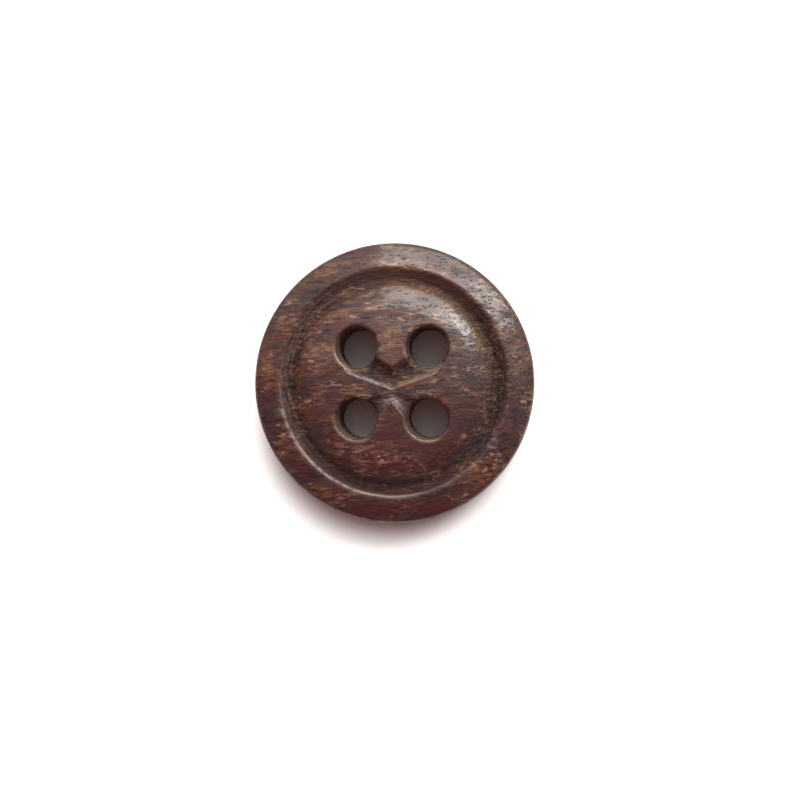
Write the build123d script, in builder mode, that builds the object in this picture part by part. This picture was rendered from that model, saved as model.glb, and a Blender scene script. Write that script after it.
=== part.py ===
from build123d import *
import math
import os

# A turned hardwood sewing button, one solid piece of wood.
# It lies on its flat back at Z = 0, centred on the Z axis, with the worked face up.
# Lengths are millimetres. Heights are measured from the back.

# Overall size
diameter = 15.0
thickness = 3.6

# Crown: the domed middle that carries the thread holes
crown_curve_radius = 30.0
crown_lift = 0.3  # top of the crown above the rim's crest
shoulder_width = 1.85  # plan width of the roll-off from the crown to the groove

# Ring groove between the crown and the rim
groove_depth = 0.65  # below the rim's crest
groove_wall_width = 0.58  # plan width of the wall that climbs to the rim
groove_round = 0.2

# Rim
rim_width = 1.33
rim_fall = 0.52  # from the crest to the outer edge
rim_bulge = 0.04  # how far the sloping rim stands proud of a straight cone
rim_crest_round = 0.2

# Outer edge, a slightly barrelled band
edge_bulge = 0.08
edge_round = 0.3

# Back
back_bevel_width = 1.8
back_bevel_height = 1.1
back_edge_round = 0.5

# Thread holes, drilled in a square
hole_diameter = 2.16
hole_spacing = 3.75
hole_face_round = 0.2
hole_back_chamfer = 0.1

# Thread channels: a round burr is drawn from each hole towards the middle, and each pair of holes
# shares a meeting point on the Y axis. Meeting points are measured along Y from the button's centre.
upper_meet_offset = 0.21
upper_meet_half_width = 0.53
upper_meet_depth = 0.34
upper_end_drop = 0.72  # how far the cut ends below the hole's centre, towards the middle
upper_end_half_width = 0.75
upper_end_depth = 0.45
lower_meet_offset = -0.7
lower_meet_half_width = 0.2
lower_meet_depth = 0.16
lower_end_half_width = 0.85
lower_end_depth = 0.55

# Places that follow from the sizes
edge_radius = diameter / 2 - edge_bulge  # where the barrelled band meets the rim and the back
rim_crest_height = thickness - crown_lift
rim_crest_radius = edge_radius - rim_width
rim_edge_height = rim_crest_height - rim_fall
groove_radius = rim_crest_radius - groove_wall_width
groove_floor_height = rim_crest_height - groove_depth
crown_reach = groove_radius - shoulder_width
crown_centre_height = thickness - crown_curve_radius
crown_half_angle = math.degrees(math.asin(crown_reach / crown_curve_radius))
back_flat_radius = edge_radius - back_bevel_width
hole_radius = hole_diameter / 2
hole_reach = hole_spacing / 2  # of a hole's centre from the X and Y axes


def crown_height(x, y):
    """Height of the crown's surface over a point of the plan."""
    return crown_centre_height + math.sqrt(crown_curve_radius**2 - x**2 - y**2)


def burr_radius(half_width, depth):
    """Radius of the round burr that leaves a channel of this half width and depth."""
    return (half_width**2 + depth**2) / (2 * depth)


def burr_centre(x, y, half_width, depth):
    """Where the middle of the burr runs over a point of the plan to cut this half width and depth."""
    return Vector(x, y, crown_height(x, y) - depth + burr_radius(half_width, depth))


def channel_burr(nose, nose_radius, end, end_radius):
    """What a tapered burr, round at both ends, takes out on its way from its nose to the end of its cut."""
    length = (end - nose).length
    burr_plane = Plane(origin=nose, x_dir=end - nose, z_dir=(end - nose).cross(Vector(0, 0, 1)))
    with BuildPart() as burr:
        with BuildSketch(burr_plane):
            with BuildLine():
                nose_ball = CenterArc((0, 0), nose_radius, 180, -90)
                end_ball = CenterArc((length, 0), end_radius, 90, -90)
                Line(nose_ball @ 1, end_ball @ 0)
                Line(end_ball @ 1, nose_ball @ 0)
            make_face()
        revolve(axis=Axis(nose, end - nose))
    return burr.part


# Burrs for the upper pair of channels and the lower pair
upper_nose_cut = (upper_meet_half_width, upper_meet_depth)
upper_end_cut = (upper_end_half_width, upper_end_depth)
lower_nose_cut = (lower_meet_half_width, lower_meet_depth)
lower_end_cut = (lower_end_half_width, lower_end_depth)
pairs = [
    (upper_meet_offset, upper_nose_cut, hole_reach - upper_end_drop, upper_end_cut),
    (lower_meet_offset, lower_nose_cut, -hole_reach, lower_end_cut),
]
burrs = []
for meet_offset, nose_cut, end_offset, end_cut in pairs:
    nose = burr_centre(0, meet_offset, *nose_cut)
    for hole_side in (-hole_reach, hole_reach):
        end = burr_centre(hole_side, end_offset, *end_cut)
        burrs.append(channel_burr(nose, burr_radius(*nose_cut), end, burr_radius(*end_cut)))

# The button: a turned blank, drilled, with the channels cut between the holes
with BuildPart() as button:
    with BuildSketch(Plane.XZ) as section:
        with BuildLine():
            crown = CenterArc((0, crown_centre_height), crown_curve_radius, 90, -crown_half_angle)
            groove = (groove_radius, groove_floor_height)
            shoulder = TangentArc(crown @ 1, groove, tangent=crown % 1)
            groove_wall = Line(shoulder @ 1, (rim_crest_radius, rim_crest_height))
            rim = SagittaArc(groove_wall @ 1, (edge_radius, rim_edge_height), rim_bulge)
            edge_band = SagittaArc(rim @ 1, (edge_radius, back_bevel_height), edge_bulge)
            bevel = TangentArc((back_flat_radius, 0), edge_band @ 1, tangent=(1, 0))
            Polyline(bevel @ 0, (0, 0), crown @ 0)
        make_face()
        rounds = [
            (groove, groove_round),
            ((rim_crest_radius, rim_crest_height), rim_crest_round),
            ((edge_radius, rim_edge_height), edge_round),
            ((edge_radius, back_bevel_height), back_edge_round),
        ]
        for corner, corner_round in rounds:
            fillet(section.vertices().sort_by_distance(Vector(*corner))[0], corner_round)
    revolve(axis=Axis.Z)

    with GridLocations(hole_spacing, hole_spacing, 2, 2):
        Hole(hole_radius)
    hole_rims = button.faces().filter_by(GeomType.CYLINDER).edges().group_by(Axis.Z)
    fillet(hole_rims[-1], hole_face_round)
    chamfer(hole_rims[0], hole_back_chamfer)

    for burr in burrs:
        add(burr, mode=Mode.SUBTRACT)

button.part.label = "button"

os.makedirs("parts", exist_ok=True)
export_step(button.part, "parts/button.step")
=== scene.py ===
import math

import bpy
import numpy as np
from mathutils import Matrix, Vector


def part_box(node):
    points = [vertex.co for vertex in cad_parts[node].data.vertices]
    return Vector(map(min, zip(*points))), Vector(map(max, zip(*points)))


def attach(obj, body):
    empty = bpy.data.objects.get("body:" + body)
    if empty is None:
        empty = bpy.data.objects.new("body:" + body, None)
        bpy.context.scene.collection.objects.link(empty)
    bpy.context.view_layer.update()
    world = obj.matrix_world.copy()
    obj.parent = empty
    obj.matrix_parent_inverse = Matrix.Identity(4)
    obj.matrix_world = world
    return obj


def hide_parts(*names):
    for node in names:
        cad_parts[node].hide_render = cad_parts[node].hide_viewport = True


# A turned hardwood sewing button, lying face up on a white table and seen from above.
# Lengths are millimetres from the centre of the button's back, and become metres when a mesh is made.

MM = 0.001
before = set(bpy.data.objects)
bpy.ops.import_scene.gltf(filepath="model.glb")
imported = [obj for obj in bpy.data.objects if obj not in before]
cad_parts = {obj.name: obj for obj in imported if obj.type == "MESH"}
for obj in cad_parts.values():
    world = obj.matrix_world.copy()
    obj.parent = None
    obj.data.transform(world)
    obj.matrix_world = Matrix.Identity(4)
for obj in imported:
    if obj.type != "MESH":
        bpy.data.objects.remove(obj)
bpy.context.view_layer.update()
box_low, box_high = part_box("button")
radius = (box_high.x - box_low.x) / 2 / MM
thickness = box_high.z / MM

# Turned form
crown_curve_radius = 30.0
crown_lift = 0.3  # top of the crown above the rim's crest
shoulder_width = 1.85
groove_depth = 0.65
groove_wall_width = 0.58
groove_round = 0.2
rim_width = 1.33
rim_fall = 0.52
rim_bulge = 0.04
rim_crest_round = 0.2
edge_bulge = 0.08
edge_round = 0.3
back_bevel_width = 1.8
back_bevel_height = 1.1
back_edge_round = 0.5

# Thread holes and the carved channels between them
hole_radius = 1.08
hole_reach = 1.875  # of a hole's centre from the X and Y axes
hole_face_round = 0.2
hole_back_chamfer = 0.1
upper_channels = {"meet": 0.21, "nose": (0.53, 0.34), "end": (0.75, 0.45), "end_y": hole_reach - 0.72}
lower_channels = {"meet": -0.7, "nose": (0.2, 0.16), "end": (0.85, 0.55), "end_y": -hole_reach}
channel_edge_wear = 0.012
# Deeper carving gets more painted shade and more roughness
full_carving = 0.3  # depth at which a channel's wood is wholly dark

# Places that follow from the sizes
edge_radius = radius - edge_bulge
rim_crest_height = thickness - crown_lift
rim_crest_radius = edge_radius - rim_width
rim_edge_height = rim_crest_height - rim_fall
groove_radius = rim_crest_radius - groove_wall_width
groove_floor_height = rim_crest_height - groove_depth
crown_reach = groove_radius - shoulder_width
back_flat_radius = edge_radius - back_bevel_width

# Wood grain: its direction over the face, how steeply the fibres rise to the right, and how far they wander
grain_angle = math.radians(4)
grain_rise = math.radians(8)
grain_wander = 0.3

# Soft patches of other colour in the wood: middle x, middle y, reach along x, reach along y
ruddy_patches = [
    (-6.3, 0.3, 0.7, 0.9), (-4.4, 0.9, 1.2, 0.6), (-3.4, -1.6, 0.9, 1.0), (0.2, 6.0, 1.6, 0.3),
    (4.6, -5.2, 1.0, 0.6), (-0.4, 1.15, 0.3, 0.2),
]
wine_patches = [
    (-0.1, -2.1, 0.9, 0.8), (-2.0, -3.0, 1.8, 0.6), (1.8, -3.2, 1.8, 0.7), (3.0, -1.7, 1.0, 0.7),
    (-3.0, -0.6, 0.9, 0.5), (-0.3, -2.8, 1.4, 0.6), (-0.2, -4.1, 2.6, 0.9), (-1.0, -6.7, 3.6, 0.6),
    (-5.0, -4.6, 0.9, 0.9), (1.8, -6.5, 2.2, 0.7),
]
dusky_patches = [
    (-3.9, 0.2, 0.9, 0.2), (-4.1, -2.9, 0.75, 1.2), (3.9, 1.0, 0.9, 0.22), (4.0, 0.35, 0.8, 0.28),
    (-2.7, -4.5, 0.9, 0.45), (3.1, -0.3, 1.0, 0.15), (-6.2, 4.0, 0.6, 0.6), (-0.2, -5.1, 3.0, 0.45),
    (4.5, -3.2, 0.8, 0.9), (3.9, -2.1, 0.8, 0.8), (-3.2, -0.3, 0.6, 0.3), (-6.4, -1.6, 0.5, 0.7),
    (6.6, -1.8, 0.4, 0.8),
]
tawny_patches = [
    (-3.8, 1.7, 0.9, 0.8), (-0.2, 2.0, 0.7, 0.3), (-5.9, 3.0, 0.4, 0.35), (6.5, 1.2, 0.5, 0.9),
    (4.2, -4.6, 1.0, 0.7), (-4.6, 3.0, 0.9, 0.5), (-5.4, 4.4, 0.5, 0.4), (1.7, 4.9, 1.0, 0.3),
    (-0.5, -3.9, 1.6, 0.4), (-6.7, 0.9, 0.4, 0.8), (2.6, 0.2, 1.2, 0.25), (3.0, 2.1, 1.2, 0.3),
]
# The ashen patches make the right and the upper right of the button darker and greyer
ashen_patches = [(5.6, 0.0, 2.2, 3.6), (4.9, 4.9, 1.3, 1.3)]

# Marks that run round the button: radius and width of the ring, and the stretches of it that they cover.
# A stretch has its middle and its spread in degrees, and its strength.
ring_marks = {
    # Dust at the foot of the groove's wall, along the top and the left, lightened further as painted light in
    # the shade that the rim casts into the groove there
    "dust_and_fill": (groove_radius + 0.22, 0.24, [(110, 85, 1.0)]),
    # Dark lines that the tool left along the groove, where it crosses the grain
    "tool_lines": (groove_radius + 0.1, 0.42, [(165, 60, 1.0), (0, 50, 1.0)]),
    # Painted shade in the groove at the bottom, the side turned away from the lamps
    "shaded_wall": (groove_radius + 0.12, 0.36, [(260, 60, 1.0)]),
    # Painted light along the inner side of the groove, on the upper right, where it faces the bright pane
    "lit_flank": (groove_radius - 0.38, 0.26, [(48, 32, 1.0)]),
    # Painted highlight along the inside of the rim's crest, on the lower left, where the crest faces the
    # lamps
    "painted_crest_highlight": (rim_crest_radius - 0.1, 0.045, [(240, 50, 1.0)]),
    # The rim's crest without its polish, on the lower left and some on the upper right
    "dull_crest": (rim_crest_radius - 0.03, 0.14, [(250, 65, 1.0), (48, 35, 0.7)]),
    # Hazy polish on the upper right of the rim
    "hazy_rim": (rim_crest_radius + 0.7, 0.6, [(48, 40, 1.0)]),
}

# Unevenness of the worked face, as heights, and the least share of torn fibres round the groove
torn_least = 0.08
torn_height = 0.075
torn_depth = 0.05
lump_height = 0.008
fibre_height = 0.002
chip_depth = 0.09

# Towards the window, in plan
lit_side = (0.5, 0.87)

# Fineness of the mesh
eyelet_reach = 4.1  # radius inside which the mesh runs in spokes about the holes
turn_steps = 440  # points round the button
axis_steps = 40
axis_crowding = 1.4  # draws the points on the axes towards the middle
face_steps = 30
round_steps = 6
wall_steps = 10
back_steps = 4
top_step = 0.055
side_step = 0.14
level_enough = 0.9  # how level the face is, as a cosine, where it has all its unevenness
weld_step = 1e-5

# Table, whose paper the camera sees as white outside an oval of shade about the button
table_steps = 120
table_reach = 700.0
table_flat = 300.0
table_rise = 60.0
shade_middle = (-0.5, -2.0)
shade_squeeze = 0.95  # the shade's size along Y, as a share of its size along X
shade_reach = 5.7
shade_end = 7.7
clear_lift = 0.7  # what the camera sees added to the paper outside the shade


def noise(u, v, seed):
    """Smooth noise from -1 to 1: random values on a unit grid, blended over each square, eased."""
    side = 64
    table = np.random.default_rng(seed).uniform(-1, 1, (side, side))
    column, row = np.floor(u).astype(int), np.floor(v).astype(int)
    across, along = u - column, v - row
    across = across * across * (3 - 2 * across)
    along = along * along * (3 - 2 * along)
    left, right = column % side, (column + 1) % side
    low, high = row % side, (row + 1) % side
    lower = table[left, low] * (1 - across) + table[right, low] * across
    upper = table[left, high] * (1 - across) + table[right, high] * across
    return lower * (1 - along) + upper * along


def bell(value, middle, width):
    """1 at the middle, easing to 0 some widths away."""
    return np.exp(-(((value - middle) / width) ** 2))


def arc(start, end, bulge, count=60):
    """Points of the circle's arc from start to end whose middle stands to the left of the chord by bulge."""
    start, end = np.array(start), np.array(end)
    chord = end - start
    half = np.hypot(*chord) / 2
    along = chord / (2 * half)
    left = np.array([-along[1], along[0]])
    curve_radius = (half**2 + bulge**2) / (2 * bulge)
    turn = np.linspace(-1, 1, count)[:, None] * 2 * math.atan(bulge / half)
    middle = (start + end) / 2 + left * (bulge - curve_radius)
    return middle + along * np.sin(turn) * curve_radius + left * np.cos(turn) * curve_radius


def run_length(points):
    """Length along a run of points, at each of them."""
    steps = np.hypot(*np.diff(points, axis=0).T)
    return np.concatenate([[0], np.cumsum(steps)])


def at_length(points, lengths):
    """The points that lie at these lengths along a run of points."""
    run = run_length(points)
    return np.stack([np.interp(lengths, run, points[:, 0]), np.interp(lengths, run, points[:, 1])], axis=1)


def joined(before, after, corner_round, count=12):
    """Two runs that share a corner, as one run with a round of that radius in place of the corner.
    The round takes off the radius times the tangent of half the turn from each run."""
    into, out = before[-1] - before[-2], after[1] - after[0]
    turn = math.atan2(into[0] * out[1] - into[1] * out[0], into @ out)
    taken = corner_round * abs(math.tan(turn / 2))
    before_length, after_length = run_length(before), run_length(after)
    kept_before = before[before_length < before_length[-1] - taken]
    kept_after = after[after_length > taken]
    first = at_length(before, [before_length[-1] - taken])[0]
    last = at_length(after, [taken])[0]
    bulge = -math.copysign(corner_round * (1 - math.cos(turn / 2)), turn)
    return np.concatenate([kept_before, arc(first, last, bulge, count), kept_after])


def turned_section():
    """The button's section, from the middle of the crown over the groove, rim and edge to the middle
    of the back. Each stretch is an arc, and the corners between them are rounded."""
    crown_fall = crown_curve_radius - math.sqrt(crown_curve_radius**2 - crown_reach**2)
    crown_end = (crown_reach, thickness - crown_fall)
    groove = (groove_radius, groove_floor_height)
    crest = (rim_crest_radius, rim_crest_height)
    rim_edge = (edge_radius, rim_edge_height)
    back_edge = (edge_radius, back_bevel_height)
    back_flat = (back_flat_radius, 0)
    crown_half = math.hypot(crown_reach, crown_fall) / 2
    crown_bulge = crown_curve_radius - math.sqrt(crown_curve_radius**2 - crown_half**2)
    shoulder_fall = crown_end[1] - groove_floor_height
    shoulder_turn = math.atan2(shoulder_fall, shoulder_width) - math.asin(crown_reach / crown_curve_radius)
    shoulder_bulge = math.hypot(shoulder_width, shoulder_fall) / 2 * math.tan(shoulder_turn / 2)
    bevel_turn = math.atan2(back_bevel_height, back_bevel_width)
    bevel_bulge = math.hypot(back_bevel_width, back_bevel_height) / 2 * math.tan(bevel_turn / 2)
    crown = arc((0, thickness), crown_end, crown_bulge)
    shoulder = arc(crown_end, groove, shoulder_bulge)
    wall = np.linspace(groove, crest, len(shoulder))
    section = np.concatenate([crown, shoulder[1:]])
    section = joined(section, wall, groove_round)
    section = joined(section, arc(crest, rim_edge, rim_bulge), rim_crest_round)
    section = joined(section, arc(rim_edge, back_edge, edge_bulge), edge_round)
    section = joined(section, arc(back_edge, back_flat, bevel_bulge), back_edge_round)
    return np.concatenate([section, [(0, 0)]])


section = turned_section()
outermost = int(np.argmax(section[:, 0]))


def turned_height(r):
    """Height of the turned face at a radius, read off the section."""
    return np.interp(r, section[:outermost, 0], section[:outermost, 1])


def burr_floor(x, y, channels, hand):
    """Height to which a tapered burr, round at both ends, cuts on its way from the meeting point to a hole.
    Its round belly hangs under an axis that runs straight from nose to hole, and widens along the way."""
    hole = np.array([hand * hole_reach, channels["end_y"]])
    nose = np.array([0, channels["meet"]])
    (nose_half, nose_depth), (end_half, end_depth) = channels["nose"], channels["end"]
    nose_radius = (nose_half**2 + nose_depth**2) / (2 * nose_depth)
    end_radius = (end_half**2 + end_depth**2) / (2 * end_depth)
    nose_height = turned_height(np.hypot(*nose)) - nose_depth + nose_radius
    end_height = turned_height(np.hypot(*hole)) - end_depth + end_radius
    length = np.hypot(*(hole - nose))
    ahead = (hole - nose) / length
    along = (x - nose[0]) * ahead[0] + (y - nose[1]) * ahead[1]
    aside = (y - nose[1]) * ahead[0] - (x - nose[0]) * ahead[1]
    share = np.clip(along / length, 0, 1)
    belly = nose_radius + (end_radius - nose_radius) * share
    off_axis = np.hypot(aside, along - share * length)
    inside = np.sqrt(np.maximum(belly**2 - off_axis**2, 0))
    floor = nose_height + (end_height - nose_height) * share - inside
    return np.where(off_axis < belly, floor, thickness + off_axis)


def cut_depth(x, y, channels):
    """How deep a pair of channels is cut under the turned face, and below 0 where it isn't cut."""
    floor = np.minimum(burr_floor(x, y, channels, -1), burr_floor(x, y, channels, 1))
    return turned_height(np.hypot(x, y)) - floor


def worn_lower(a, b):
    """The lower of two heights, with the edge where they cross worn round."""
    low = np.minimum(a, b)
    return low - channel_edge_wear * np.log1p(np.exp(-np.abs(a - b) / channel_edge_wear))


def face_height(x, y):
    """Height of the worked face: the turned form, cut down by the four burrs."""
    height = turned_height(np.hypot(x, y))
    for channels in (upper_channels, lower_channels):
        for hand in (-1, 1):
            height = worn_lower(height, burr_floor(x, y, channels, hand))
    return height


def grain_place(x, y):
    """Where a point of the plan lies along the grain and across it."""
    along = x * math.cos(grain_angle) + y * math.sin(grain_angle)
    across = y * math.cos(grain_angle) - x * math.sin(grain_angle)
    return along, across


def near_angle(x, y, degrees, spread):
    """1 at a direction from the button's middle, easing to 0 some spreads away from it."""
    turn = np.angle(np.exp(1j * (np.arctan2(y, x) - math.radians(degrees))), deg=True)
    return bell(turn, 0, spread)


def ragged(x, y):
    """Broken ends of fibres, from -1 to 1: noise drawn out along the grain and steepened."""
    along, across = grain_place(x, y)
    fibres = noise(along / 0.45 + 3, across / 0.1, 11) + 0.6 * noise(along / 0.2, across / 0.07 + 9, 12)
    return np.clip(1.6 * fibres, -1, 1)


def torn_share(x, y):
    """How badly the tool tore the fibres: in the groove and up its wall, most on the left and the right."""
    ring = bell(np.hypot(x, y), groove_radius + 0.05, 0.42)
    across_grain = np.maximum(near_angle(x, y, 165, 50), near_angle(x, y, 0, 40))
    return ring * (torn_least + (1 - torn_least) * across_grain)


def dull_share(x, y):
    """Where the groove's floor keeps no polish."""
    return np.exp(-(((np.hypot(x, y) - groove_radius - 0.02) / 0.5) ** 4))


def ring_mark(x, y, name):
    """One of the marks that run round the button: 1 in the middle of its ring and of its stretches."""
    place, width, stretches = ring_marks[name]
    share = np.zeros_like(x)
    for middle, spread, strength in stretches:
        share = np.maximum(share, strength * near_angle(x, y, middle, spread))
    return bell(np.hypot(x, y), place, width) * share


def painted_edge_shade(x, y):
    """Painted shade on the outer edge of the rim, all round, where it turns down away from the lamps."""
    return bell(np.hypot(x, y), radius, 0.11)


def face_relief(x, y):
    """Unevenness of the worked face: fibres torn out of the groove, a chip in the rim's crest,
    and faint tool marks on the rest."""
    along, across = grain_place(x, y)
    lumps = noise(along / 1.3, across / 0.5, 13)
    chip = near_angle(x, y, 193, 2.2) * bell(np.hypot(x, y), rim_crest_radius, 0.25)
    fibres = ragged(x, y)
    torn = torn_share(x, y) * (torn_height * fibres - torn_depth)
    return torn + lump_height * lumps + fibre_height * fibres - chip_depth * chip


def patches_share(x, y, patches):
    """1 in the middle of any of the soft patches, easing to 0 past their reach."""
    share = np.zeros_like(x)
    for middle_x, middle_y, reach_x, reach_y in patches:
        distance = ((x - middle_x) / reach_x) ** 2 + ((y - middle_y) / reach_y) ** 2
        share = np.maximum(share, np.exp(-distance))
    return share


def under_channels(x, y):
    """Whether a point lies below the middles of the upper channels, on the side of their lip."""
    return y < upper_channels["meet"] + 0.5 * np.abs(x)


def upper_lip(x, y):
    """The worn lower edge of the upper channels, with painted highlight on it: 1 where the burr's cut meets
    the crown.
    """
    depth = cut_depth(x, y, upper_channels) + 0.04 * ragged(x, y)
    lip = np.where(x < 0, bell(depth, 0.08, 0.08), bell(depth, 0.05, 0.08))
    return lip * under_channels(x, y)


def gold_floor(x, y):
    """Paler wood laid open on the right of the upper channels' floor, towards the lip."""
    depth = cut_depth(x, y, upper_channels)
    return bell(depth, 0.2, 0.1) * np.clip(x / 0.3, 0, 1) * under_channels(x, y)


def lip_shadow(x, y):
    """Painted shadow: a thin dark line along the outside of the upper channels' left lip."""
    depth = cut_depth(x, y, upper_channels)
    return bell(depth, -0.04, 0.03) * (x < 0) * under_channels(x, y)


def lower_facets(x, y):
    """Painted highlight where the lower channels are cut near their meeting point: 1 there, more on the
    right, towards the light.
    """
    cut = np.clip(cut_depth(x, y, lower_channels) / 0.05, 0, 1)
    from_apex = np.hypot(x, y - lower_channels["meet"])
    return cut * (0.8 + 0.2 * np.tanh(x / 0.1)) * bell(from_apex, 0, 0.75)


def lit_hole_lips(x, y, place, width):
    """Painted light on the edges of the holes: 1 that far out from their walls, on the sides that face the
    light.
    """
    from_x, from_y = np.abs(x) - hole_reach, np.abs(y) - hole_reach
    from_edge = np.hypot(from_x, from_y) - hole_radius
    facing = np.sign(x) * from_x * lit_side[0] + np.sign(y) * from_y * lit_side[1]
    return bell(from_edge, place, width) * np.clip(-0.4 - facing, 0, 0.5) * 2


def bore_share(x, y, z):
    """1 on the walls of the holes, under their rounded edges."""
    from_edge = np.hypot(np.abs(x) - hole_reach, np.abs(y) - hole_reach) - hole_radius
    return (from_edge < 0.01) * (z < thickness - 2 * hole_face_round)


def turned_patch():
    """Grid of the form outside the holes: stations along the section, carried round the axis."""
    lengths = run_length(section)
    inner = np.interp(eyelet_reach, section[:outermost, 0], lengths[:outermost])
    widest = lengths[outermost]
    back_end = lengths[-1] - eyelet_reach
    top = np.linspace(inner, widest, round((widest - inner) / top_step) + 1)
    side = np.linspace(widest, back_end, round((back_end - widest) / side_step) + 1)
    stations = at_length(section, np.concatenate([top, side[1:]]))
    slope = np.gradient(stations, axis=0)
    facing_up = np.clip(slope[:, 0] / np.hypot(*slope.T) / level_enough, 0, 1)[:, None]
    turn = np.linspace(2 * np.pi, 0, turn_steps + 1)
    x = stations[:, :1] * np.cos(turn)
    y = stations[:, :1] * np.sin(turn)
    z = stations[:, 1:] + facing_up * face_relief(x, y)
    return np.stack([x, y, z], axis=-1)


def eyelet_patches():
    """Grids of the four quarters about the holes, in spokes from a hole to its quarter's border.
    Each spoke runs in over the face, round the hole's edge, down its wall, and out over the back.
    The first quarter is turned about the axis for the others and given the face's height where it lies."""
    axis = eyelet_reach * np.linspace(0, 1, axis_steps + 1) ** axis_crowding
    turn = np.linspace(0, np.pi / 2, turn_steps // 4 + 1)[1:-1]
    level = np.zeros(axis_steps + 1)
    border_x = np.concatenate([axis, eyelet_reach * np.cos(turn), level])
    border_y = np.concatenate([level, eyelet_reach * np.sin(turn), axis[::-1]])
    spokes = np.stack([border_x, border_y]) - hole_reach
    spoke_length = np.hypot(*spokes)
    reach = spoke_length - hole_radius
    inward = np.linspace(1, 0, face_steps + 1)[:, None]
    roll = np.linspace(np.pi / 2, 0, round_steps + 1)[1:, None]
    down = np.linspace(0, 1, wall_steps + 1)[1:, None]
    outward = np.linspace(0, 1, back_steps + 1)[:, None]
    over_face = hole_face_round + (reach - hole_face_round) * inward
    over_edge = hole_face_round * (1 - np.cos(roll)) + 0 * reach
    on_wall = 0 * down + 0 * reach
    over_back = hole_back_chamfer + (reach - hole_back_chamfer) * outward
    from_hole = hole_radius + np.concatenate([over_face, over_edge, on_wall, over_back])
    drop = np.concatenate([0 * inward, hole_face_round * (1 - np.sin(roll))])
    face_rows = len(drop)
    x, y = hole_reach + (spokes / spoke_length)[:, None] * from_hole
    patches = []
    for quarter in range(4):
        face_x, face_y = x[:face_rows], y[:face_rows]
        face = face_height(face_x, face_y) + face_relief(face_x, face_y) - drop
        wall = face[-1] + (hole_back_chamfer - face[-1]) * down
        z = np.concatenate([face, wall, 0 * over_back])
        patches.append(np.stack([x, y, z], axis=-1))
        x, y = -y, x
    return patches


def sewn(patches):
    """Points and squares of one surface: the patches' points that coincide are merged."""
    points = np.concatenate([patch.reshape(-1, 3) for patch in patches])
    squares = []
    start = 0
    for patch in patches:
        rows, columns = patch.shape[:2]
        index = start + np.arange(rows * columns).reshape(rows, columns)
        corners = [index[:-1, :-1], index[:-1, 1:], index[1:, 1:], index[1:, :-1]]
        squares.append(np.stack(corners, axis=-1).reshape(-1, 4))
        start += rows * columns
    _, kept, merged = np.unique(np.round(points / weld_step), axis=0, return_index=True, return_inverse=True)
    return points[kept], merged.reshape(-1)[np.concatenate(squares)]


def mesh_piece(name, patches):
    """An object at the origin with the surface that the patches make together, and that surface's points."""
    points, squares = sewn(patches)
    mesh = bpy.data.meshes.new(name)
    mesh.from_pydata((points * MM).tolist(), [], squares.tolist())
    mesh.shade_smooth()
    piece = bpy.data.objects.new(name, mesh)
    bpy.context.scene.collection.objects.link(piece)
    return piece, points


def button_piece():
    """The button as one closed mesh, with the marks that colour its wood and paint light and shade on it."""
    piece, points = mesh_piece("wooden_button", [turned_patch(), *eyelet_patches()])
    x, y, z = points.T
    up = z > thickness / 2
    middle = np.hypot(x, y) < eyelet_reach
    sunk = np.clip((turned_height(np.hypot(x, y)) - z) / full_carving, 0, 1)
    lip = upper_lip(x, y)
    dull_crest = ring_mark(x, y, "dull_crest")
    marks = {
        # Depth of the channels' cut, which roughens them and darkens them as painted shade
        "carved_and_shaded": sunk * up * middle,
        "torn": torn_share(x, y) * up,
        "lined": ring_mark(x, y, "tool_lines") * up,
        # Painted shade in the groove at the bottom, and a painted shadow along the upper channels' left lip
        "painted_shade": np.maximum(0.9 * ring_mark(x, y, "shaded_wall"), 0.8 * lip_shadow(x, y)) * up,
        "bore": bore_share(x, y, z),
        "dull": dull_share(x, y) * up,
        "matt": np.maximum(0.8 * dull_crest, 0.35 * ring_mark(x, y, "hazy_rim")) * up,
        # Dust, and painted light in the groove's shade at the top and the left
        "dusty_and_lit": ring_mark(x, y, "dust_and_fill") * up,
        # Painted shade on the rim's outer edge
        "edge": painted_edge_shade(x, y) * (z > rim_edge_height - edge_round),
        # Painted light on the groove's inner side and on the hole edges that face the lamps
        "ochre_and_lit": np.maximum(ring_mark(x, y, "lit_flank"), lit_hole_lips(x, y, 0.03, 0.09)) * up,
        "gold": gold_floor(x, y) * up,
        # Worn edges, and painted light on the hole edges and channel lip that face the lamps
        "worn_and_lit": np.maximum(lip * (x > 0), 0.6 * lit_hole_lips(x, y, 0.16, 0.07)) * up,
        # Painted highlight along the inside of the rim's crest
        "crest_highlight": ring_mark(x, y, "painted_crest_highlight") * up,
        # Painted highlight on the upper channels' left lip and the lower channels' cut
        "facet_highlight": np.maximum(lip * (x < 0), lower_facets(x, y)) * up,
        "ruddy": patches_share(x, y, ruddy_patches),
        "wine": patches_share(x, y, wine_patches) * up,
        "dusky": patches_share(x, y, dusky_patches),
        "tawny": patches_share(x, y, tawny_patches),
        "ashen": patches_share(x, y, ashen_patches),
        "face": np.clip((z - rim_edge_height) / edge_round + 1, 0, 1),
    }
    for name, values in marks.items():
        attribute = piece.data.attributes.new(name, "FLOAT", "POINT")
        attribute.data.foreach_set("value", values.astype(np.float32))
    return piece


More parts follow.
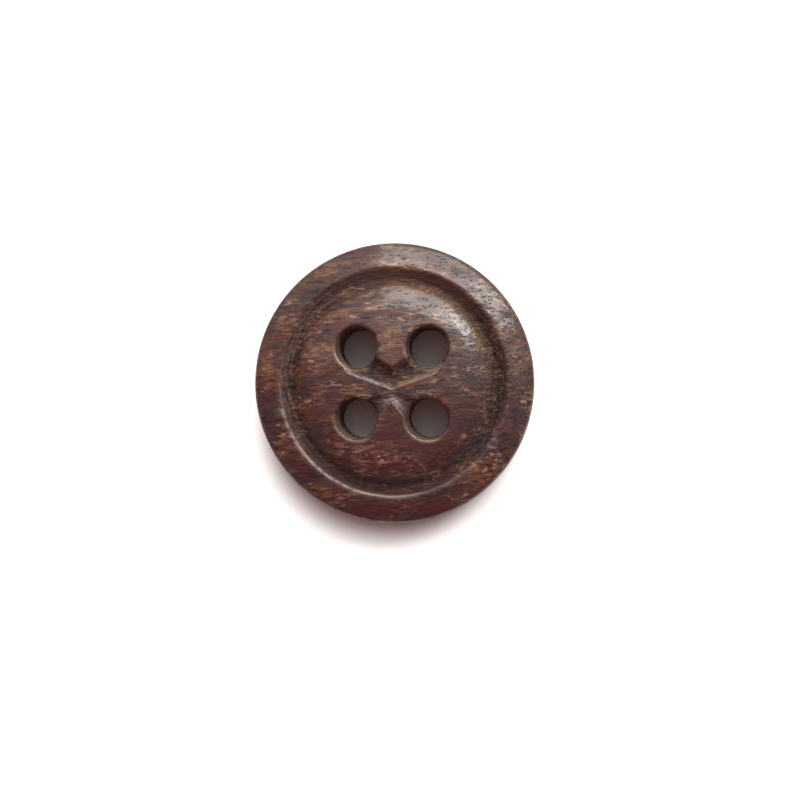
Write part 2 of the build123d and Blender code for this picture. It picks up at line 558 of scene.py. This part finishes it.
class Shading:
    """Makes and links the nodes of one material or of the world."""

    def __init__(self, tree):
        self.tree = tree

    def feed(self, socket, value):
        """Gives a socket a value, or a link from another node's output."""
        if isinstance(value, bpy.types.NodeSocket):
            self.tree.links.new(value, socket)
        else:
            socket.default_value = value

    def node(self, kind, inputs, **settings):
        """A node with its settings, and with what goes into it."""
        made = self.tree.nodes.new("ShaderNode" + kind)
        for name, value in settings.items():
            setattr(made, name, value)
        for name, value in inputs.items():
            self.feed(made.inputs[name], value)
        return made

    def calc(self, operation, a, b):
        """Two values put together by an operation of arithmetic."""
        return self.node("Math", {0: a, 1: b}, operation=operation).outputs[0]

    def times(self, a, b):
        return self.calc("MULTIPLY", a, b)

    def eased(self, value, low, high, to_low=0.0, to_high=1.0):
        """The value's way from low to high, eased at both ends."""
        inputs = {"Value": value, "From Min": low, "From Max": high, "To Min": to_low, "To Max": to_high}
        return self.node("MapRange", inputs, interpolation_type="SMOOTHSTEP").outputs[0]

    def mixed(self, share, a, b):
        """Colour a going over to colour b by a share."""
        return self.node("Mix", {0: share, 6: a, 7: b}, data_type="RGBA").outputs[2]

    def mark(self, name):
        """One of the marks that the mesh carries."""
        return self.node("Attribute", {}, attribute_name=name).outputs["Fac"]

    def places(self):
        """Places on the piece, in metres."""
        return self.node("TexCoord", {}).outputs["Object"]

    def round_places(self, along_radius):
        """Places along a circle of that radius about Z, and out from Z, in millimetres. They join at -Y."""
        place = self.node("SeparateXYZ", {"Vector": self.places()}).outputs
        turn = self.calc("ARCTAN2", self.times(place["X"], -1.0), place["Y"])
        flat = self.node("CombineXYZ", {"X": place["X"], "Y": place["Y"]}).outputs[0]
        out = self.node("VectorMath", {0: flat}, operation="LENGTH").outputs["Value"]
        ring = {"X": self.times(turn, along_radius), "Y": self.times(out, 1 / MM)}
        return self.node("CombineXYZ", ring).outputs[0]

    def stretched(self, places, length, width, start):
        """Places with one pattern step per length along X and per width across it."""
        scale = (1 / length, 1 / width, 1 / width)
        mapping = {"Vector": places, "Scale": scale, "Location": (start, start, start)}
        return self.node("Mapping", mapping).outputs[0]

    def drawn_noise(self, places, length, width, start, detail):
        """Noise drawn out along X."""
        inputs = {"Vector": self.stretched(places, length, width, start), "Scale": 1.0, "Detail": detail}
        return self.node("TexNoise", inputs).outputs["Fac"]

    def bumped(self, height):
        """Directions of the surface with small heights on it, as shares of the bumps' depth."""
        inputs = {"Height": height, "Distance": bump_depth * MM, "Strength": 1.0}
        return self.node("Bump", inputs).outputs[0]

    def drawn_cells(self, places, length, width, start):
        """Distance from the middles of cells that are drawn out along X."""
        inputs = {"Vector": self.stretched(places, length, width, start), "Scale": 1.0}
        return self.node("TexVoronoi", inputs).outputs["Distance"]


# Patterns of the grain: length and width of a step, where the pattern starts, and its detail
grain_patterns = {
    "bands": (5.0, 0.7, 3.0, 2.0),
    "hue": (3.0, 1.1, 23.0, 1.0),
    "streaks": (1.8, 0.21, 11.0, 2.0),
    "shreds": (1.2, 0.19, 59.0, 1.5),
    "flecks": (0.95, 0.2, 47.0, 1.5),
    "clusters": (2.2, 0.9, 31.0, 1.0),
    "sheen": (0.9, 0.3, 41.0, 2.0),
    "fibres": (0.42, 0.11, 97.0, 2.0),
    "threads": (0.5, 0.09, 83.0, 1.0),
    "lenses": (2.4, 0.42, 53.0, 1.0),
    "dashes": (0.62, 0.165, 5.0, 2.0),
    "wisps": (0.85, 0.2, 29.0, 1.0),
    "tints": (0.9, 0.25, 67.0, 0.0),
}
tool_lines = (1.1, 0.13, 7.0, 2.0)
pore_cells = (0.5, 0.14, 71.0)

# Colours of the wood
dusk = (0.042, 0.019, 0.026, 1)
brown = (0.102, 0.039, 0.023, 1)
red = (0.145, 0.028, 0.025, 1)
wine = (0.070, 0.0145, 0.018, 1)
fawn = (0.215, 0.14, 0.13, 1)
# Pale dust colour, also used as painted light in the shaded groove
dust_and_fill = (0.22, 0.15, 0.135, 1)
buff = (0.33, 0.235, 0.165, 1)
amber = (0.24, 0.125, 0.052, 1)
tan = (0.40, 0.24, 0.195, 1)
# Colour of painted highlight
highlight_blush = (0.46, 0.36, 0.32, 1)
slate = (0.050, 0.029, 0.037, 1)
black = (0.010, 0.006, 0.006, 1)
# Ochre of painted light
ochre_and_lit = (0.160, 0.096, 0.036, 1)
ash = (0.055, 0.036, 0.031, 1)
# Colour of painted shade
shade_dark = (0.026, 0.013, 0.014, 1)
olive = (0.28, 0.20, 0.11, 1)
# Colour of painted highlight
highlight_lilac = (0.42, 0.35, 0.35, 1)

# What the tools, wear and dust laid over the grain, with painted light and shade among them, from the first
# to the last: the mark, the pattern that breaks it up, two values of that pattern, the layer's share at each
# of them, and its colour
layers = [
    # Dust and painted light in the groove
    ("dusty_and_lit", "fibres", 0.4, 0.6, 0.85, 0.85, dust_and_fill),
    # Painted light
    ("ochre_and_lit", "fibres", 0.36, 0.6, 0.3, 0.8, ochre_and_lit),
    ("torn", "fibres", 0.38, 0.5, 0.6, 0.0, black),
    ("torn", "fibres", 0.56, 0.68, 0.0, 0.6, olive),
    ("lined", "tool", 0.4, 0.52, 0.8, 0.0, black),
    # Painted shade
    ("painted_shade", "fibres", 0.42, 0.6, 1.0, 0.7, shade_dark),
    # Painted shade in the carved channels
    ("carved_and_shaded", "fibres", 0.44, 0.6, 0.8, 0.2, black),
    ("gold", "fibres", 0.4, 0.58, 0.2, 0.8, olive),
    # Wear and painted light on edges that face the lamps
    ("worn_and_lit", "fibres", 0.36, 0.6, 0.3, 0.95, buff),
    # Painted highlight
    ("facet_highlight", "fibres", 0.36, 0.6, 0.25, 0.85, highlight_lilac),
    # Painted highlight
    ("crest_highlight", "sheen", 0.38, 0.58, 0.4, 1.0, highlight_blush),
    ("bore", "streaks", 0.36, 0.6, 0.7, 1.0, fawn),
    # Painted shade on the rim's outer edge
    ("edge", "fibres", 0.4, 0.6, 0.8, 0.8, black),
]

# Polish of the wood
satin_roughness = (0.36, 0.46)
pore_roughness = 0.3  # added in the pores
matt_roughness = 0.4  # added where the wood is matt
wax_roughness = 0.15
bump_depth = 0.02


def grain_places(shading):
    """Places in millimetres, turned so that the fibres run along X, and made to wander across them."""
    per_mm = (1 / MM, 1 / MM, 1 / MM)
    turn = {"Vector": shading.places(), "Scale": per_mm, "Rotation": (0, grain_rise, -grain_angle)}
    turned = shading.node("Mapping", turn).outputs[0]
    wander = shading.node("TexNoise", {"Vector": turned, "Scale": 0.35, "Detail": 1.0}).outputs["Color"]
    shift = {0: wander, 1: (0.0, grain_wander, grain_wander), 2: turned}
    return shading.node("VectorMath", shift, operation="MULTIPLY_ADD").outputs[0]


def pale_dashes(shading, pattern):
    """Pale strokes along the grain: broad ones where one noise is high, thin ones where another is near
    its middle."""
    s = shading
    off_middle = s.calc("ABSOLUTE", s.calc("SUBTRACT", pattern["wisps"], 0.5), 0.0)
    thin = s.eased(off_middle, 0.005, 0.035, 0.6, 0.0)
    broad = s.eased(pattern["dashes"], 0.54, 0.60)
    return s.times(s.calc("MAXIMUM", broad, thin), s.eased(pattern["sheen"], 0.36, 0.58, 0.35, 1.0))


def wood_colour(shading, pattern, dashes, pores):
    """Bands of dusk and brown with red, wine and tawny patches, pale dashes in clusters, dark shreds and
    pores, and over them what the tools and wear did, and painted light and shade."""
    s = shading
    dusky, winy, tawny = s.mark("dusky"), s.mark("wine"), s.mark("tawny")
    colour = s.mixed(s.eased(pattern["bands"], 0.38, 0.60), dusk, brown)
    reddish = s.eased(pattern["hue"], 0.50, 0.66, 0.0, 0.55)
    colour = s.mixed(s.calc("MAXIMUM", reddish, s.times(s.mark("ruddy"), 0.75)), colour, red)
    colour = s.mixed(s.times(s.mark("ashen"), 0.75), colour, ash)
    colour = s.mixed(s.times(s.times(tawny, 0.3), s.calc("SUBTRACT", 1.0, winy)), colour, amber)
    colour = s.mixed(s.times(winy, 0.85), colour, wine)
    calm = s.calc("MAXIMUM", s.times(dusky, 0.85), s.times(winy, 0.9))
    stirred = s.calc("SUBTRACT", 1.0, calm)
    on_face = s.eased(s.mark("face"), 0.0, 1.0, 0.3, 1.0)
    lens_share = s.times(s.times(stirred, on_face), s.eased(pattern["lenses"], 0.56, 0.63, 0.0, 0.75))
    colour = s.mixed(lens_share, colour, slate)
    colour = s.mixed(s.times(dusky, 0.85), colour, slate)

    clustered = s.times(s.eased(pattern["clusters"], 0.44, 0.60), stirred)
    lively = s.times(s.calc("MAXIMUM", clustered, s.times(tawny, 0.9)), on_face)
    strokes = s.eased(stirred, 0.0, 0.8, 0.2, 1.0)
    colour = s.mixed(s.times(strokes, s.eased(pattern["streaks"], 0.36, 0.48, 0.6, 0.0)), colour, dusk)
    colour = s.mixed(s.times(strokes, s.eased(pattern["shreds"], 0.57, 0.65, 0.0, 0.7)), colour, black)
    fleck_share = s.times(s.eased(pattern["flecks"], 0.50, 0.62), s.eased(lively, 0.0, 1.0, 0.1, 0.55))
    fleck_share = s.times(fleck_share, stirred)
    colour = s.mixed(fleck_share, colour, amber)
    dash_colour = s.mixed(s.calc("MAXIMUM", s.eased(pattern["tints"], 0.38, 0.62), winy), amber, tan)
    colour = s.mixed(s.times(dashes, s.eased(lively, 0.0, 0.9, 0.06, 1.0)), colour, dash_colour)
    colour = s.mixed(s.times(strokes, s.eased(pattern["threads"], 0.34, 0.46, 0.25, 0.0)), colour, black)
    colour = s.mixed(s.times(strokes, s.eased(pattern["threads"], 0.56, 0.68, 0.0, 0.1)), colour, tan)
    colour = s.mixed(s.times(s.times(pores, on_face), s.times(strokes, 0.35)), colour, black)

    for mark, breaking, low, high, share_low, share_high, paint in layers:
        broken = s.eased(pattern[breaking], low, high, share_low, share_high)
        colour = s.mixed(s.times(s.mark(mark), broken), colour, paint)
    return colour


def wood():
    """Dark, open-pored hardwood under wax."""
    material = bpy.data.materials.new("waxed_dark_wood")
    material.use_nodes = True
    s = Shading(material.node_tree)
    shader = s.tree.nodes["Principled BSDF"]
    grain = grain_places(s)
    pattern = {name: s.drawn_noise(grain, *sizes) for name, sizes in grain_patterns.items()}
    pattern["tool"] = s.drawn_noise(s.round_places(groove_radius), *tool_lines)
    pores = s.eased(s.drawn_cells(grain, *pore_cells), 0.16, 0.32, 1.0, 0.0)
    dashes = pale_dashes(s, pattern)
    s.feed(shader.inputs["Base Color"], wood_colour(s, pattern, dashes, pores))

    rough = s.calc("MAXIMUM", s.mark("dull"), s.times(s.mark("carved_and_shaded"), 0.9))
    matt = s.calc("MAXIMUM", rough, s.calc("MAXIMUM", s.mark("matt"), s.mark("bore")))
    satin = s.eased(pattern["streaks"], 0.3, 0.7, *satin_roughness)
    satin = s.calc("ADD", satin, s.times(pores, pore_roughness))
    s.feed(shader.inputs["Roughness"], s.calc("ADD", satin, s.times(matt, matt_roughness)))
    s.feed(shader.inputs["Specular IOR Level"], s.eased(s.mark("painted_shade"), 0.0, 1.0, 0.4, 0.08))
    polish = s.times(s.calc("SUBTRACT", 1.0, matt), s.eased(pores, 0.0, 1.0, 1.0, 0.4))
    s.feed(shader.inputs["Coat Weight"], s.times(polish, s.eased(pattern["sheen"], 0.32, 0.62, 0.5, 1.0)))
    shader.inputs["Coat Roughness"].default_value = wax_roughness

    height = s.calc("SUBTRACT", s.times(pattern["streaks"], 0.7), s.times(pores, 0.25))
    height = s.calc("ADD", height, s.times(rough, s.times(pattern["fibres"], 3.0)))
    s.feed(shader.inputs["Coat Normal"], s.bumped(height))
    s.feed(shader.inputs["Normal"], s.bumped(s.calc("ADD", height, s.times(dashes, 0.25))))
    return material


# Paper and light
paper = (0.93, 0.93, 0.92, 1)
paper_roughness = 0.9
white = (1, 1, 1, 1)
warm = (1.0, 0.40, 0.38, 1)
window_side = (0.3, 0.9, 0.2)
room_side = (-0.45, -0.7, 0.55)
daylight = (1.0, 0.975, 0.92)
ceiling_light = (1.0, 0.86, 0.82)
wall_light = (1, 1, 1)
lamp_distance = 0.6


def table_piece():
    """White table: a square sheet that is flat about the button and sweeps up into a backdrop far from it.
    Its height grows as the square of the distance past the flat."""
    across = np.linspace(-table_reach, table_reach, table_steps + 1)
    x, y = np.meshgrid(across, across)
    beyond = np.clip(np.hypot(x, y) / table_flat - 1, 0, None)
    piece, _ = mesh_piece("white_table", [np.stack([x, y, table_rise * beyond**2], axis=-1)])
    piece.data.materials.append(white_paper())
    return piece


def white_paper():
    """Plain paper that the camera sees as white away from the button, and with its shade close to it."""
    material = bpy.data.materials.new("white_paper")
    material.use_nodes = True
    s = Shading(material.node_tree)
    shader = s.tree.nodes["Principled BSDF"]
    shader.inputs["Base Color"].default_value = paper
    shader.inputs["Roughness"].default_value = paper_roughness
    squeeze = (shade_squeeze / MM, 1 / MM, 1 / MM)
    start = (-shade_middle[0] * shade_squeeze, -shade_middle[1], 0.0)
    about = s.node("Mapping", {"Vector": s.places(), "Scale": squeeze, "Location": start}).outputs[0]
    away = s.node("VectorMath", {0: about}, operation="LENGTH").outputs["Value"]
    clear = s.eased(away, shade_reach, shade_end, 0.0, clear_lift)
    seen = s.node("LightPath", {}).outputs["Is Camera Ray"]
    shader.inputs["Emission Color"].default_value = white
    s.feed(shader.inputs["Emission Strength"], s.times(clear, seen))
    return material


def soft_light(name, azimuth, elevation, size, irradiance, colour):
    """Square lamp that faces the button, with lengths in metres. Its power gives that irradiance on a surface
    that faces it: the irradiance times pi and the square of the distance."""
    lamp = bpy.data.lights.new(name, "AREA")
    lamp.size = size
    lamp.color = colour
    lamp.energy = irradiance * math.pi * lamp_distance**2
    holder = bpy.data.objects.new(name, lamp)
    turn, rise = math.radians(azimuth), math.radians(elevation)
    holder.location = (
        lamp_distance * math.cos(turn) * math.cos(rise),
        lamp_distance * math.sin(turn) * math.cos(rise),
        lamp_distance * math.sin(rise),
    )
    holder.rotation_euler = (-holder.location).to_track_quat("-Z", "Y").to_euler()
    bpy.context.scene.collection.objects.link(holder)


def room_light():
    """Light of the room: white and brighter on the side of the window, dim and warm on the other.
    The camera sees it as plain white."""
    world = bpy.data.worlds.new("room")
    world.use_nodes = True
    s = Shading(world.node_tree)
    background = s.tree.nodes["Background"]
    aim = s.node("TexCoord", {}).outputs["Generated"]
    to_window = s.node("VectorMath", {0: aim, 1: window_side}, operation="DOT_PRODUCT").outputs["Value"]
    fade = {"Value": to_window, "From Min": -0.5, "From Max": 0.9, "To Min": 0.01, "To Max": 0.46}
    bright = s.node("MapRange", fade).outputs[0]
    to_room = s.node("VectorMath", {0: aim, 1: room_side}, operation="DOT_PRODUCT").outputs["Value"]
    glow = s.eased(to_room, 0.3, 0.95, 0.0, 0.2)
    warm_share = s.eased(to_window, -0.2, 0.6, 1.0, 0.0)
    light = s.mixed(warm_share, white, warm)
    seen = s.node("LightPath", {}).outputs["Is Camera Ray"]
    s.feed(background.inputs["Strength"], s.calc("MAXIMUM", s.calc("ADD", bright, glow), seen))
    s.feed(background.inputs["Color"], s.mixed(seen, light, white))
    bpy.context.scene.world = world


button = button_piece()
button.data.materials.append(wood())
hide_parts("button")
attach(button, "root")

table_piece()

soft_light("window", 80, 45, 0.36, 1.75, daylight)
soft_light("bright_pane", 46, 44, 0.17, 1.05, daylight)
soft_light("ceiling", 85, 70, 0.3, 0.2, ceiling_light)
soft_light("pale_wall", 140, 45, 0.5, 0.2, wall_light)
room_light()

# Camera, above the button and a little to the right of it
photo_width = 800
photo_radius = 139.4  # of the button, in pixels
photo_centre = (394.25, 383.25)
camera_lean = math.radians(4.5)
camera_distance = 60.0
pixel = radius / photo_radius
aim_x = (photo_width / 2 - photo_centre[0]) * pixel
aim_y = (photo_centre[1] - photo_width / 2) * pixel
aim_z = (rim_edge_height + back_bevel_height) / 2
lens = bpy.data.cameras.new("camera")
lens.sensor_width = 36.0
lens.lens = lens.sensor_width * camera_distance / (photo_width * pixel)
lens.clip_start = 0.001
camera = bpy.data.objects.new("camera", lens)
camera.location = (
    (aim_x + camera_distance * math.sin(camera_lean)) * MM,
    aim_y * MM,
    (aim_z + camera_distance * math.cos(camera_lean)) * MM,
)
camera.rotation_euler = (0, camera_lean, 0)
bpy.context.scene.collection.objects.link(camera)
bpy.context.scene.camera = camera
bpy.context.scene.view_settings.view_transform = "Standard"
